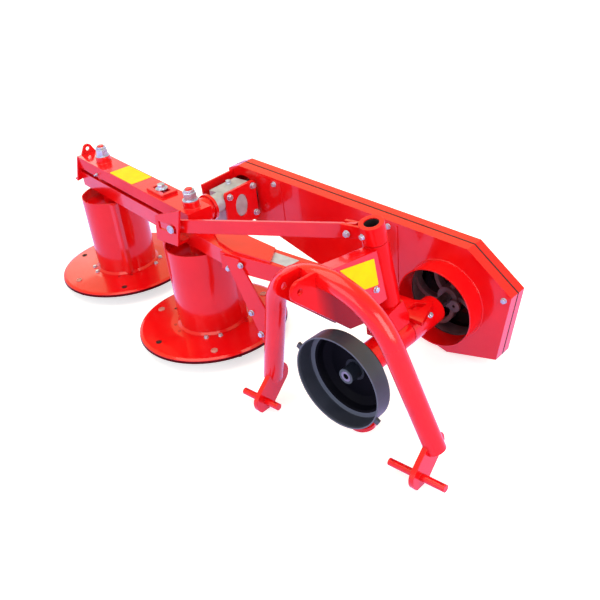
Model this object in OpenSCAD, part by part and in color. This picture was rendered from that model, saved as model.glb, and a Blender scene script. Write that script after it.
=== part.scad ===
// Two-drum rotary mower for a tractor's three-point hitch.
// The hitch arch carries an inclined swing mast, the mast carries the power take-off tube,
// and the cutter unit rolls about that tube. X right along the lower pins, Y rearward, Z up.

/* [Drums] */
// distance between the two drum axes
drum_pitch = 640; // [580:5:700]
// radius of the cutting discs
disc_r = 264; // [240:2:290]
// height of the disc's upper face
disc_top = 62; // [50:1:80]
// outside radius of the drums
drum_r = 116; // [100:1:130]
// height of the drums' open top rim
drum_top = 365; // [330:1:380]
// wall of the drums
drum_wall = 4; // [3:0.5:8]
// radius of the skid saucers
saucer_r = 205; // [160:5:230]
// radius of the fixed drum spindles
spindle_r = 25; // [18:0.5:35]
// height of the spindle ends
spindle_top = 570; // [560:1:600]
// rearward sweep of the drum line
sweep = 9.6; // [0:0.1:15]

/* [Cutter beam] */
// X of the inner drum
drum2_x = -753; // [-820:1:-700]
// Y of the inner drum
drum2_y = 217; // [150:1:280]
// width of the lower box beam
beam_w = 90; // [70:1:110]
// height of the lower box beam
beam_h = 56; // [50:1:80]
// wall of the box beams
beam_wall = 6; // [4:0.5:10]
// gap between drum rim and beam
drum_air = 9; // [6:1:20]
// beam length outside the outer drum's axis
beam_out = 140; // [90:5:180]
// beam length inside the inner drum's axis
beam_in = 238; // [150:1:280]
// top of the upper channel
chan_top = 492; // [470:1:520]
// height of the upper channel
chan_h = 46; // [30:1:60]
// sheet of the upper channel
chan_t = 7; // [4:0.5:10]

/* [Power take-off] */
// X of the power take-off axis
pto_x = 8; // [-20:1:30]
// height of the power take-off axis
pto_z = 208; // [190:1:240]
// radius of the power take-off tube
tube_r = 45; // [38:0.5:60]
// Y of the roll joint between tube and sleeve
roll_y = 330; // [310:1:380]
// radius of the shaft
shaft_r = 17.5; // [14:0.25:25]
// running clearance of shafts and sleeves
run_fit = 0.05; // [0.02:0.01:0.1]
// mouth radius of the plastic bell
bell_r = 146; // [120:1:160]
// Y of the bell's mouth
bell_y = 15; // [0:1:40]

/* [Belt guard] */
// Y of the guard's front face
guard_y = 547; // [520:1:580]
// depth of each guard half
guard_d = 37; // [30:0.5:50]
// sheet of the guard
guard_t = 4; // [2:0.5:6]
// slope of the guard's centre line
guard_tilt = 12.1; // [5:0.1:20]
// height of the guard above the big pulley's axis
guard_up = 212; // [190:1:220]
// depth of the guard below the big pulley's axis
guard_down = 198; // [180:1:202]
// radius of the guard's round collar
collar_r = 135; // [110:1:150]
// length of the guard's round collar
collar_l = 66; // [40:1:80]
// radius of the big pulley
pulley_r = 142; // [120:1:150]
// radius of the small pulley
pinion_r = 48; // [40:1:60]
// distance between the pulleys
belt_c = 863; // [800:1:900]

/* [Swing mast] */
// forward lean of the mast
mast_lean = 10; // [0:0.5:15]
// Y of the mast's middle
mast_y = 251; // [220:1:280]
// height of the mast's middle
mast_z = 478; // [450:1:500]
// outside radius of the mast sleeve
mast_r = 36; // [30:0.5:45]
// radius of the mast pin
mast_pin_r = 30; // [24:0.5:35]
// half length of the mast
mast_half = 136; // [110:1:150]
// length of the stay collar on top
stay_collar_l = 58; // [40:1:70]

/* [Hitch] */
// radius of the lower hitch pins
pin_r = 11; // [10:0.5:19]
// distance of the pins' outer ends from the centre
pin_out = 374.5; // [340:0.5:420]
// distance of the left pin's inner end from the centre
pin_in_left = 228; // [190:1:270]
// distance of the right pin's inner end from the centre
pin_in_right = 192; // [190:1:270]
// distance of the ears' middles from the centre
ear_x = 290; // [280:0.5:310]
// height of the lower hitch pins
pin_z = 32; // [28:1:60]
// thickness of the hitch ears
ear_t = 16; // [12:1:20]
// radius of the hitch ears
ear_r = 38; // [32:1:45]
// radius of the arch pipe
arch_pipe = 30; // [24:1:35]
// radius of the arch's bend
arch_r = 215; // [180:1:240]
// height of the arch bend's centre
arch_z = 335; // [300:1:360]
// outward slope of the arch legs
leg_tilt = 17; // [8:0.5:25]
// forward lean of the arch
arch_lean = 6; // [0:0.5:12]
// Y of the arch legs' feet
leg_y = 62; // [40:1:80]
// X of the middle between the top link plates
link_x = -28; // [-40:1:-20]
// Y of the top link hole
link_y = -74; // [-100:1:-60]
// height of the top link hole
link_z = 550; // [530:1:570]
// radius of the top link hole
link_r = 9.75; // [9:0.25:13]
// clear gap between the top link plates
link_gap = 46; // [45:1:70]
// thickness of the top link plates
link_t = 10; // [8:0.5:14]

/* [Arm and stay] */
// Y of the arm's rear face
arm_back = 222; // [200:1:240]
// Y of the arm's front face at the swath strap
arm_front = 120; // [100:1:140]
// rearward slope of the arm's front face
arm_slope = 5.9; // [0:0.1:8]
// X of the arm's inner end
arm_end = -130; // [-160:1:-110]
// thickness of the knuckle plate
knuckle_t = 16; // [10:1:20]
// height of the flat stay
stay_w = 45; // [35:1:60]
// thickness of the flat stay
stay_t = 10; // [6:1:14]
// radius of the stay bolts
stay_bolt = 8; // [6:0.5:12]

/* [Hidden] */
$fn = 64;
fit = 0.3;
red = [0.83, 0.04, 0.07];
dark = [0.16, 0.17, 0.20];
zinc = [0.78, 0.80, 0.83];
alu = [0.68, 0.69, 0.70];
iron = [0.20, 0.14, 0.13];
beam_bot = drum_top + drum_air;
beam_top = beam_bot + beam_h;
drum1_x = drum2_x - drum_pitch * cos(sweep);
left_x = drum1_x - disc_r;
right_x = pin_out;
nose_r = 30;
flat = tube_r - 4;
drive_r = 42;
tube_z = drum_top + 16 + drive_r;
strap_x = -525;
sleeve_l = 148;
lug_z = 18;
lug_r = 8;
tens_x = -195;
box_y = guard_y - 150;
neck_l = 55;
boss_r = 40;
brace_z = 575;
brace_h = 40;
brace_t = 5;
brace_w = 34;
stud_r = 15;
collar_h = 28;
nut_h = 36;
stub_l = 43;
stub_r = shaft_r - 1;
web_x = link_x + link_gap / 2 + link_t + 9;
leg_foot = 84;
org = [(left_x + right_x) / 2, (link_y - nose_r + guard_y + 2 * guard_d) / 2, 0];
pinion_x = pto_x - belt_c * cos(guard_tilt);
pinion_z = pto_z + belt_c * sin(guard_tilt);
stay_a = [-70, 222, 573];
stay_b = [-752, 140, 454];
stay_v = stay_b - stay_a;
stay_len = norm(stay_v);
stay_yaw = atan2(-stay_v[1], -stay_v[0]);
stay_pitch = asin(stay_v[2] / stay_len);

function arc(c, r, a0, a1, n = 12) =
    [for (i = [0:n]) c + r * [cos(a0 + (a1 - a0) * i / n), sin(a0 + (a1 - a0) * i / n)]];

function guard_pts(d) = let (u = 41, e = 212, f = -922, g = -968)
    [[u, guard_down - d], [e - d, 122 - d / 2], [e - d, -122 + d / 2], [u, -guard_up + d],
     [f, -90 + d], [g + d, -62 + d / 2], [g + d, 62 - d / 2], [f, 90 - d]];

module part(c) color(c) translate(-org) children();

module cutter() translate([drum2_x, drum2_y, 0]) rotate([0, 0, -sweep]) children();

module pto(y) translate([pto_x, y, pto_z]) rotate([-90, 0, 0]) children();

module mast(s) translate([0, mast_y, mast_z]) rotate([mast_lean, 0, 0]) translate([0, 0, s]) children();

module lean() translate([0, leg_y, 90]) rotate([arch_lean, 0, 0]) translate([0, -leg_y, -90]) children();

module side_plate(x, t) translate([x, 0, 0]) rotate([90, 0, 90]) linear_extrude(t) children();

module front_plate(y, t) translate([0, y + t, 0]) rotate([90, 0, 0]) linear_extrude(t) children();

module ring(r1, r0, h) difference() {
    cylinder(r = r1, h = h);
    translate([0, 0, -1]) cylinder(r = r0, h = h + 2);
}

module tube_box(l, w, h, t) difference() {
    translate([0, -w / 2, 0]) cube([l, w, h]);
    translate([-1, -w / 2 + t, t]) cube([l + 2, w - 2 * t, h - 2 * t]);
}

module beam_cut() cutter() translate([-3000 + beam_in, -1000, 0]) cube([3000, 2000, 1000]);

function front_y(x) = arm_front + (x - strap_x) * tan(arm_slope);

module arm_plan(x0, x1, d)
    polygon([[x0, front_y(x0) + d], [x1, front_y(x1) + d], [x1, arm_back - d], [x0, arm_back - d]]);

module arm() part(red) {
    difference() {
        translate([0, 0, beam_top - 60]) linear_extrude(60) arm_plan(drum2_x + 150, arm_end, 0);
        translate([0, 0, beam_top - 60 + beam_wall]) linear_extrude(60 - 2 * beam_wall)
            arm_plan(drum2_x + 140, arm_end + 10, beam_wall);
        beam_cut();
    }
    translate([0, 0, beam_top]) linear_extrude(8)
        polygon([[drum2_x + 120, arm_back - 30], [drum2_x + 120, arm_back + 26], [-380, arm_back - 4],
            [-330, front_y(-330) + 4], [-480, front_y(-480) + 10], [drum2_x + 180, arm_back - 64]]);
}

module knuckle() part(red) {
    side_plate(arm_end, knuckle_t)
        polygon([[front_y(arm_end) - 6, beam_top], [front_y(arm_end) - 6, beam_top - 62],
            [roll_y + 20, pto_z - 30], [roll_y + 140, pto_z - 30], [roll_y + 140, pto_z + 40],
            [arm_back + 76, beam_top]]);
    translate([arm_end + knuckle_t, roll_y + 30, pto_z - 22])
        cube([pto_x - flat - arm_end - knuckle_t, 105, 44]);
}

module roll_sleeve() part(red) difference() {
    pto(roll_y) ring(tube_r, 38 + run_fit, sleeve_l);
    translate([pto_x - 100 - flat, roll_y - 1, pto_z - 100]) cube([100, 200, 200]);
    translate([pto_x - 100, roll_y + 8, pto_z + flat]) cube([200, 110, 100]);
}

module window_plate() part(red) translate([pto_x, roll_y, pto_z + flat]) linear_extrude(8) difference() {
    polygon([[-36, 9], [68, 9], [32, 116], [-60, 78]]);
    polygon([[-36, 70], [20, 94], [16, 56]]);
}

module guard_half(y, front) difference() {
    pto(y) rotate([0, 0, guard_tilt]) linear_extrude(guard_d) polygon(guard_pts(0));
    pto(front ? y + guard_t : y - 1) rotate([0, 0, guard_tilt])
        linear_extrude(guard_d - guard_t + 1) polygon(guard_pts(guard_t));
}

module guard_front() part(red) difference() {
    guard_half(guard_y, true);
    pto(guard_y - 1) cylinder(r = collar_r - guard_t, h = 20);
    translate([pinion_x - 20, guard_y - 1, pinion_z]) rotate([-90, 0, 0]) cylinder(r = 65, h = 20);
}

module guard_collar() part(red) pto(guard_y - collar_l) ring(collar_r, collar_r - guard_t, collar_l);

module guard_rear() part(red) difference() {
    guard_half(guard_y + guard_d, false);
    pto(guard_y + guard_d - 1) rotate([0, 0, guard_tilt]) linear_extrude(6) difference() {
        polygon(guard_pts(-2));
        polygon(guard_pts(3));
    }
}

module gearbox() part(alu) difference() {
    union() {
        translate([pinion_x - 38, box_y, pinion_z - 62]) cube([76, 125, 125]);
        translate([pinion_x, guard_y - 26, pinion_z]) rotate([-90, 0, 0]) cylinder(r = 36, h = 26);
        translate([pinion_x + 18, box_y - neck_l, tube_z]) rotate([-90, 0, 0])
            cylinder(r = 34, h = neck_l + 1);
        cover_boss(boss_r);
    }
    translate([pinion_x, guard_y - 80, pinion_z]) rotate([-90, 0, 0]) cylinder(r = 14 + run_fit, h = 120);
}

module cover_boss(r) translate([pinion_x + 37, guard_y - 87, pinion_z]) rotate([0, 90, 0])
    cylinder(r = r, h = 14);

module gearbox_cover() part(red) difference() {
    translate([pinion_x + 38, box_y + 2, pinion_z - 66]) cube([8, 128, 133]);
    cover_boss(boss_r + fit);
}

module gearbox_side() part(red)
    translate([pinion_x - 80, box_y, pinion_z - 68]) cube([8, 150, 144]);

module drive_tube() part(red) difference() {
    union() {
        translate([pinion_x + 18, drum2_y, tube_z]) rotate([-90, 0, 0])
            ring(drive_r, drive_r - 8, box_y - neck_l - drum2_y);
        translate([pinion_x + 18, box_y - neck_l - 12, tube_z]) rotate([-90, 0, 0])
            ring(48, drive_r - 8, 12);
    }
    cutter() translate([-1000, -500 + beam_w / 2, 0]) cube([2000, 500, 1000]);
}

module spindle_holes(r) for (x = [-drum_pitch, 0]) translate([x, 0, beam_bot - 50]) cylinder(r = r, h = 300);

module lower_beam() part(red) cutter() difference() {
    translate([-drum_pitch - beam_out, 0, beam_bot])
        tube_box(drum_pitch + beam_out + beam_in, beam_w, beam_h, beam_wall);
    spindle_holes(spindle_r + fit);
}

module upper_channel() part(red) cutter() difference() {
    translate([-drum_pitch - beam_out, -beam_w / 2, chan_top - chan_h])
        cube([drum_pitch + beam_out + 48, beam_w, chan_h]);
    translate([-drum_pitch - beam_out - 1, -beam_w / 2 + chan_t, chan_top - chan_h - 1])
        cube([drum_pitch + beam_out + 42, beam_w - 2 * chan_t, chan_h - chan_t + 1]);
    spindle_holes(spindle_r + fit);
    translate([tens_x - 30, -9, chan_top - 20]) cube([60, 18, 40]);
}

module end_plate() part(red) cutter() translate([-drum_pitch - beam_out - 8, 0, 0]) {
    translate([-18, -66, beam_top - 31]) cube([19, 26, 6]);
    rotate([90, 0, 90]) linear_extrude(8) difference() {
        union() {
            polygon([[-beam_w / 2, chan_top], [beam_w / 2, chan_top], [beam_w / 2, beam_top - 14],
                [-68, beam_top - 32]]);
            polygon(concat([[-32, chan_top - 10], [40, chan_top - 10]],
                arc([4, chan_top + lug_z], 19, 15, 165)));
        }
        translate([4, chan_top + lug_z]) circle(lug_r);
    }
}

module tensioner() part(zinc) cutter() {
    for (s = [-1, 1]) translate([tens_x - 45, s * 22 - 5, chan_top]) cube([90, 10, 9]);
    translate([tens_x - 12, -17, chan_top]) cube([24, 34, 6]);
    translate([tens_x, 0, chan_top - 26]) cylinder(r = 8, h = 52);
    translate([tens_x, 0, chan_top + 6]) cylinder(r = 15, h = 12, $fn = 6);
}

module spindle(x) part(red) cutter() translate([x, 0, 0]) {
    translate([0, 0, 14]) cylinder(r = spindle_r, h = chan_top - 2);
    translate([0, 0, beam_top]) ring(37, spindle_r - 1, chan_top - chan_t - beam_top);
    translate([0, 0, chan_top]) cylinder(r = 31, h = collar_h);
    translate([0, 0, chan_top + 10]) cylinder(r = stud_r, h = spindle_top - chan_top - 10);
}

module spindle_1() spindle(-drum_pitch);

module spindle_2() spindle(0);

module spindle_nut(x) part(zinc) cutter() translate([x, 0, chan_top + collar_h]) difference() {
    cylinder(r = 28, h = nut_h, $fn = 6);
    translate([0, 0, -1]) cylinder(r = stud_r + fit, h = nut_h + 2);
}

module spindle_nut_1() spindle_nut(-drum_pitch);

module spindle_nut_2() spindle_nut(0);

module stay_bracket() part(red) translate(stay_b) difference() {
    union() {
        front_plate(-24, 8) polygon([[-88, -60], [18, -60], [62, 78], [-74, 30]]);
        translate([-88, -24, -60]) cube([106, 120, 8]);
    }
    translate([-62, -30, -14]) cube([88, 20, 28]);
    translate(-stay_b) cutter() translate([-1000, -beam_w / 2, 0]) cube([2000, 500, 1000]);
}

module swath_plate() part(red) translate([strap_x, arm_front, 0]) rotate([0, 0, arm_slope])
    front_plate(-6, 6) polygon([[13, beam_top - 6], [73, beam_top - 6], [190, 196], [134, 120]]);

module mast_pin() part(red) difference() {
    union() {
        mast(-mast_half - 10) cylinder(r = mast_pin_r, h = 2 * mast_half + 10);
        mast(mast_half - stay_collar_l) cylinder(r = mast_r, h = stay_collar_l);
        for (s = [-1, 1]) translate(stay_a) rotate([0, 0, stay_yaw])
            translate([-24, s * (stay_t / 2 + 6.5) - 5, -12]) cube([82, 10, 35]);
    }
    mast(-mast_half) cylinder(r = 22, h = 3 * mast_half);
    translate(stay_a) rotate([90, 0, stay_yaw]) cylinder(r = stay_bolt + run_fit, h = 80, center = true);
}

module saddle() part(red) difference() {
    side_plate(-34, 68)
        polygon([[roll_y - 120, pto_z + flat], [roll_y - 4, pto_z + flat], [roll_y - 4, pto_z + 70],
            [roll_y - 30, mast_z - mast_half], [roll_y - 120, mast_z - mast_half]]);
    mast(-mast_half - 10) translate([-100, -200, 0]) cube([200, 400, 300]);
}

module pto_tube() part(red) difference() {
    union() {
        pto(110) cylinder(r = tube_r, h = roll_y - 112);
        pto(110) cylinder(r = 38, h = roll_y + 10);
    }
    pto(150) cylinder(r = 28, h = roll_y - 80);
    pto(100) cylinder(r = shaft_r + run_fit, h = 500);
    translate([pto_x - 100, roll_y - 120, pto_z + flat]) cube([200, 120, 100]);
    translate([pto_x - 50, 112, pto_z - flat - 50]) cube([100, 36, 50]);
}

module pto_bell() part(dark) pto(bell_y) {
    rotate_extrude() polygon([[shaft_r + 6, 87], [90, 87], [113, 75], [120, 58], [139, 52], [bell_r - 4, 0],
        [bell_r, 0], [bell_r - 2, 56], [125, 59], [117, 80], [93, 95], [shaft_r + 6, 95]]);
    for (a = [30, 210]) rotate([0, 0, a]) translate([bell_r - 4, -9, 3]) cube([17, 18, 9]);
}

module stand_leg() part(red) translate([pto_x, 130, 0]) {
    translate([0, -18, 0]) cylinder(r = 38, h = 12);
    cylinder(r = 16, h = pto_z - flat);
}

module arch_bend(r) lean() translate([0, leg_y, arch_z]) rotate([90, 0, 0]) rotate([0, 0, leg_tilt])
    rotate_extrude(angle = 180 - 2 * leg_tilt) translate([arch_r, 0]) circle(r);

module arch() part(red) arch_bend(arch_pipe);

module leg(s, pin_in) part(red) {
    lean() translate([s * arch_r * cos(leg_tilt), leg_y, arch_z + arch_r * sin(leg_tilt)])
        rotate([0, s * (180 - leg_tilt), 0])
            cylinder(r = arch_pipe, h = (arch_z + arch_r * sin(leg_tilt) - leg_foot) / cos(leg_tilt));
    side_plate(s * ear_x - ear_t / 2, ear_t)
        polygon(concat(arc([0, pin_z], ear_r, 130, 180 + asin(pin_z / ear_r)), [[26, 0]],
            arc([leg_y + 8, 90], 40, -60, 110)));
    translate([s * pin_in, 0, pin_z]) rotate([0, s * 90, 0]) cylinder(r = pin_r, h = pin_out - pin_in);
}

module leg_left() leg(-1, pin_in_left);

module leg_right() leg(1, pin_in_right);

module link_plate(x) part(red) difference() {
    side_plate(x, link_t)
        polygon(concat(arc([link_y, link_z], nose_r, 85, 205),
            [[99, 343], [167, 327], [199, 377], [168, 432], [35, 520], [-10, link_z + 25]]));
    translate([x - 1, link_y, link_z]) rotate([0, 90, 0]) cylinder(r = link_r, h = link_t + 2);
    arch_bend(arch_pipe);
}

module link_left() link_plate(link_x - link_gap / 2 - link_t);

module link_right() link_plate(link_x + link_gap / 2);

module mast_sleeve() part(red) mast(-mast_half)
    ring(mast_r, mast_pin_r + run_fit, 2 * mast_half - stay_collar_l - 2);

function brace_line(d) = [[0, brace_z - d], [260, brace_z - 44 - d]];

module brace_side(x, w, top, bottom) side_plate(x, w)
    polygon([brace_line(top)[0], brace_line(top)[1], brace_line(bottom)[1], brace_line(bottom)[0]]);

module brace() part(red) difference() {
    brace_side(web_x - brace_w, brace_w, 0, brace_h);
    brace_side(web_x - brace_w + brace_t, brace_w - 2 * brace_t, brace_t, brace_h - brace_t);
    translate([-50, -50, 400]) cube([100, 60, 300]);
    arch_bend(arch_pipe);
    mast(-mast_half) cylinder(r = mast_r, h = 300);
}

module gusset() part(red) difference() {
    side_plate(web_x, 10)
        polygon(concat(brace_line(0), [[262, 372], [150, 372], [60, 500]]));
    translate([-50, -50, 400]) cube([100, 60, 300]);
    arch_bend(arch_pipe);
    mast(-mast_half - 50) cylinder(r = mast_r, h = 400);
}

module stay() part(red) translate(stay_a) rotate([0, 0, stay_yaw]) rotate([0, stay_pitch, 0]) {
    translate([-stay_len - 25, -stay_t / 2, -stay_w / 2]) cube([stay_len + 50, stay_t, stay_w]);
    rotate([90, 0, 0]) cylinder(r = stay_bolt, h = 44, center = true);
    translate([-stay_len, -30, 0]) rotate([-90, 0, 0]) cylinder(r = stay_bolt, h = 42);
}

module drum(x, turn) part(red) cutter() translate([x, 0, 0]) {
    rotate_extrude() polygon([[drum_r + 9, disc_top], [drum_r + 9, disc_top + 2], [drum_r, disc_top + 9],
        [drum_r, drum_top], [drum_r - drum_wall, drum_top],
        [drum_r - drum_wall, 330], [34, 330], [34, drum_top - 4], [spindle_r + run_fit, drum_top - 4],
        [spindle_r + run_fit, disc_top + 2], [34, disc_top + 2], [34, 318], [drum_r - drum_wall, 318],
        [drum_r - drum_wall, disc_top]]);
    for (a = [0, 180]) rotate([0, 0, turn + a]) translate([0, 0, disc_top + 5])
        linear_extrude(drum_top - disc_top - 8)
            polygon([[drum_r - 2, -17], [drum_r + 14, -4], [drum_r + 14, 4], [drum_r - 2, 17]]);
}

module drum_1() drum(-drum_pitch, -24);

module drum_2() drum(0, 38);

module disc(x, turn) part(red) cutter() translate([x, 0, 0]) {
    difference() {
        rotate_extrude() polygon([[36, disc_top], [36, disc_top - 8], [disc_r - 12, disc_top - 12],
            [disc_r - 6, 44], [disc_r, 44], [disc_r - 2, disc_top - 8], [disc_r - 12, disc_top - 4],
            [150, disc_top]]);
        for (a = [60, 180, 300]) rotate([0, 0, turn + a])
            translate([disc_r - 45, 0, disc_top - 20]) cylinder(r = 8, h = 30);
    }
    for (a = [0, 120, 240]) rotate([0, 0, turn + a]) {
        translate([disc_r - 45, 0, 42]) cylinder(r = 14, h = 9);
        translate([disc_r - 64, -22, 38]) cube([44, 110, 4]);
    }
}

module disc_1() disc(-drum_pitch, -92);

module disc_2() disc(0, -32);

module saucer(x) part(red) cutter() translate([x, 0, 0]) rotate_extrude()
    polygon([[0, 0], [100, 0], [150, 6], [saucer_r, 28], [saucer_r, 32], [146, 12], [98, 8], [60, 8],
        [60, 34], [spindle_r + run_fit, 34], [spindle_r + run_fit, 8], [0, 8]]);

module saucer_1() saucer(-drum_pitch);

module saucer_2() saucer(0);

module drive_shaft() part(zinc) difference() {
    union() {
        pto(bell_y + 42) cylinder(r = stub_r, h = stub_l + 1);
        pto(bell_y + 42 + stub_l) cylinder(r = shaft_r, h = guard_y + 24 - bell_y - stub_l);
    }
    pto(bell_y + 40) cylinder(r = 9, h = 40);
}

module big_pulley() part(iron) pto(guard_y + 10) {
    ring(pulley_r, pulley_r - 12, 50);
    difference() {
        cylinder(r = 36, h = 50);
        translate([0, 0, -1]) cylinder(r = shaft_r + fit, h = 60);
    }
    for (a = [0:72:288]) rotate([0, 0, a]) difference() {
        translate([72, 0, 10]) ring(76, 62, 24);
        translate([0, 0, -1]) cylinder(r = 30, h = 60);
        translate([-200, 0, -1]) cube([400, 200, 60]);
        difference() {
            translate([0, 0, -1]) cylinder(r = 300, h = 60);
            translate([0, 0, -2]) cylinder(r = pulley_r - 6, h = 70);
        }
    }
}

module small_pulley() part(iron) translate([pinion_x, 0, pinion_z]) rotate([-90, 0, 0]) {
    translate([0, 0, guard_y + 10]) cylinder(r = pinion_r, h = 50);
    translate([0, 0, guard_y - 75]) cylinder(r = 14, h = 90);
}

arm();
knuckle();
roll_sleeve();
window_plate();
guard_front();
guard_rear();
guard_collar();
gearbox();
gearbox_cover();
gearbox_side();
drive_tube();
lower_beam();
upper_channel();
end_plate();
tensioner();
spindle_1();
spindle_2();
spindle_nut_1();
spindle_nut_2();
stay_bracket();
swath_plate();
mast_pin();
saddle();
pto_tube();
pto_bell();
stand_leg();
arch();
leg_left();
leg_right();
link_left();
link_right();
mast_sleeve();
brace();
gusset();
stay();
drum_1();
drum_2();
disc_1();
disc_2();
saucer_1();
saucer_2();
drive_shaft();
big_pulley();
small_pulley();
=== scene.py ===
import math

import bpy
from mathutils import Matrix, Vector
from mathutils.geometry import convex_hull_2d


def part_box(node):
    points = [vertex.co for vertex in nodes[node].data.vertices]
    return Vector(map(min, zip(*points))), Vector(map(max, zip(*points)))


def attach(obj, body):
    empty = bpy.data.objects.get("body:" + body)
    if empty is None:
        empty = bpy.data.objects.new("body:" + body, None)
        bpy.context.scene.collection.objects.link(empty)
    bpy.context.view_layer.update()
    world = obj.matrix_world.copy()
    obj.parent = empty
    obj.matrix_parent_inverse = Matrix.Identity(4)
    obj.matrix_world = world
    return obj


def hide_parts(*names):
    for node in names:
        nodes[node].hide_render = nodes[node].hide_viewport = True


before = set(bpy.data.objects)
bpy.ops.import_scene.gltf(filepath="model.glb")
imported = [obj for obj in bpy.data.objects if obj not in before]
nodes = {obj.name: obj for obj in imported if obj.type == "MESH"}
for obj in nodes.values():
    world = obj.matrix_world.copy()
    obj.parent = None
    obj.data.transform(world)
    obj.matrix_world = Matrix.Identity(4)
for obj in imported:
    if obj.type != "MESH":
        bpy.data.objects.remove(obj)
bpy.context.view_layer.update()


# Red enamel: every sheet, tube and plate of the mower is sprayed in one gloss red coat.
# The coat varies a little in tone, has a fine orange peel and draws off the sharp edges.
def node_group(name, inputs, outputs):
    """An empty shader node group with named sockets; inputs are (name, type, value)."""
    group = bpy.data.node_groups.new(name, "ShaderNodeTree")
    for label, kind, value in inputs:
        group.interface.new_socket(label, in_out="INPUT", socket_type=kind).default_value = value
    for label, kind in outputs:
        group.interface.new_socket(label, in_out="OUTPUT", socket_type=kind)
    entry = group.nodes.new("NodeGroupInput").outputs
    leave = group.nodes.new("NodeGroupOutput").inputs
    return group, entry, leave


def add_noise(tree, size, detail=3.0):
    """Noise on the piece's own coordinates; size is how many patches fit in a metre."""
    place = tree.nodes.new("ShaderNodeTexCoord")
    noise = tree.nodes.new("ShaderNodeTexNoise")
    noise.inputs["Detail"].default_value = detail
    tree.links.new(place.outputs["Object"], noise.inputs["Vector"])
    if isinstance(size, (int, float)):
        noise.inputs["Scale"].default_value = size
    else:
        tree.links.new(size, noise.inputs["Scale"])
    return noise.outputs["Fac"]


def add_range(tree, value, low, high, to_low, to_high):
    """Maps a mask from one span to another."""
    span = tree.nodes.new("ShaderNodeMapRange")
    spans = (("From Min", low), ("From Max", high), ("To Min", to_low), ("To Max", to_high))
    for label, number in spans:
        if isinstance(number, (int, float)):
            span.inputs[label].default_value = number
        else:
            tree.links.new(number, span.inputs[label])
    tree.links.new(value, span.inputs["Value"])
    return span.outputs["Result"]


def add_mix(tree, mask, first, second):
    """Blends two colours by a mask; each colour is a socket or three numbers."""
    mix = tree.nodes.new("ShaderNodeMix")
    mix.data_type = "RGBA"
    tree.links.new(mask, mix.inputs["Factor"])
    for socket, colour in ((mix.inputs[6], first), (mix.inputs[7], second)):
        if isinstance(colour, tuple):
            socket.default_value = (*colour, 1.0)
        else:
            tree.links.new(colour, socket)
    return mix.outputs[2]


uneven_coat, coat_in, coat_out = node_group(
    "uneven_coat",
    [("Colour", "NodeSocketColor", (0.5, 0.5, 0.5, 1)),
     ("Deep", "NodeSocketColor", (0.4, 0.4, 0.4, 1)),
     ("Patches", "NodeSocketFloat", 9.0), ("Grain", "NodeSocketFloat", 500.0),
     ("Dull", "NodeSocketFloat", 0.3), ("Bright", "NodeSocketFloat", 0.2)],
    [("Colour", "NodeSocketColor"), ("Roughness", "NodeSocketFloat"), ("Height", "NodeSocketFloat")])
tone = add_range(uneven_coat, add_noise(uneven_coat, coat_in["Patches"]), 0.35, 0.7, 0.0, 1.0)
toned = add_mix(uneven_coat, tone, coat_in["Colour"], coat_in["Deep"])
uneven_coat.links.new(toned, coat_out["Colour"])
smears = add_noise(uneven_coat, 23.0, 5.0)
sheen = add_range(uneven_coat, smears, 0.3, 0.7, coat_in["Bright"], coat_in["Dull"])
uneven_coat.links.new(sheen, coat_out["Roughness"])
uneven_coat.links.new(add_noise(uneven_coat, coat_in["Grain"], 2.0), coat_out["Height"])


def coated_material(name, colour, deep, patches, grain, bright, dull, depth, edge):
    """A material with the uneven coat, a grain of that depth and edges rounded by edge, in metres."""
    material = bpy.data.materials.new(name)
    material.use_nodes = True
    tree = material.node_tree
    shader = tree.nodes["Principled BSDF"]
    coat = tree.nodes.new("ShaderNodeGroup")
    coat.node_tree = uneven_coat
    coat.inputs["Colour"].default_value = (*colour, 1)
    coat.inputs["Deep"].default_value = (*deep, 1)
    for label, value in (("Patches", patches), ("Grain", grain), ("Bright", bright), ("Dull", dull)):
        coat.inputs[label].default_value = value
    rounding = tree.nodes.new("ShaderNodeBevel")
    rounding.samples = 6
    rounding.inputs["Radius"].default_value = edge
    bump = tree.nodes.new("ShaderNodeBump")
    bump.inputs["Strength"].default_value = 0.5
    bump.inputs["Distance"].default_value = depth
    tree.links.new(rounding.outputs["Normal"], bump.inputs["Normal"])
    tree.links.new(coat.outputs["Height"], bump.inputs["Height"])
    tree.links.new(coat.outputs["Colour"], shader.inputs["Base Color"])
    tree.links.new(coat.outputs["Roughness"], shader.inputs["Roughness"])
    tree.links.new(bump.outputs["Normal"], shader.inputs["Normal"])
    return material, shader


RED = (0.80, 0.004, 0.005)
DEEP_RED = (0.72, 0.001, 0.004)


def enamel_material(name):
    """The gloss red coat; gives the material and its shader."""
    material, shader = coated_material(
        name, RED, DEEP_RED, patches=7.0, grain=420.0, bright=0.16, dull=0.26, depth=0.00012, edge=0.0028)
    shader.inputs["Coat Weight"].default_value = 0.5
    shader.inputs["Coat Roughness"].default_value = 0.05
    shader.inputs["Specular IOR Level"].default_value = 0.28
    return material, shader


red_enamel = enamel_material("red_enamel")[0]


def paint_nodes(material, *names):
    """Gives CAD nodes a material in place of the frame's plain one."""
    for name in names:
        slots = nodes[name].data.materials
        slots.clear()
        slots.append(material)


unpainted = {"gearbox", "spindle_nut_1", "spindle_nut_2", "pto_bell", "drive_shaft",
             "big_pulley", "small_pulley"}
paint_nodes(red_enamel, *(name for name in nodes if name not in unpainted))


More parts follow.
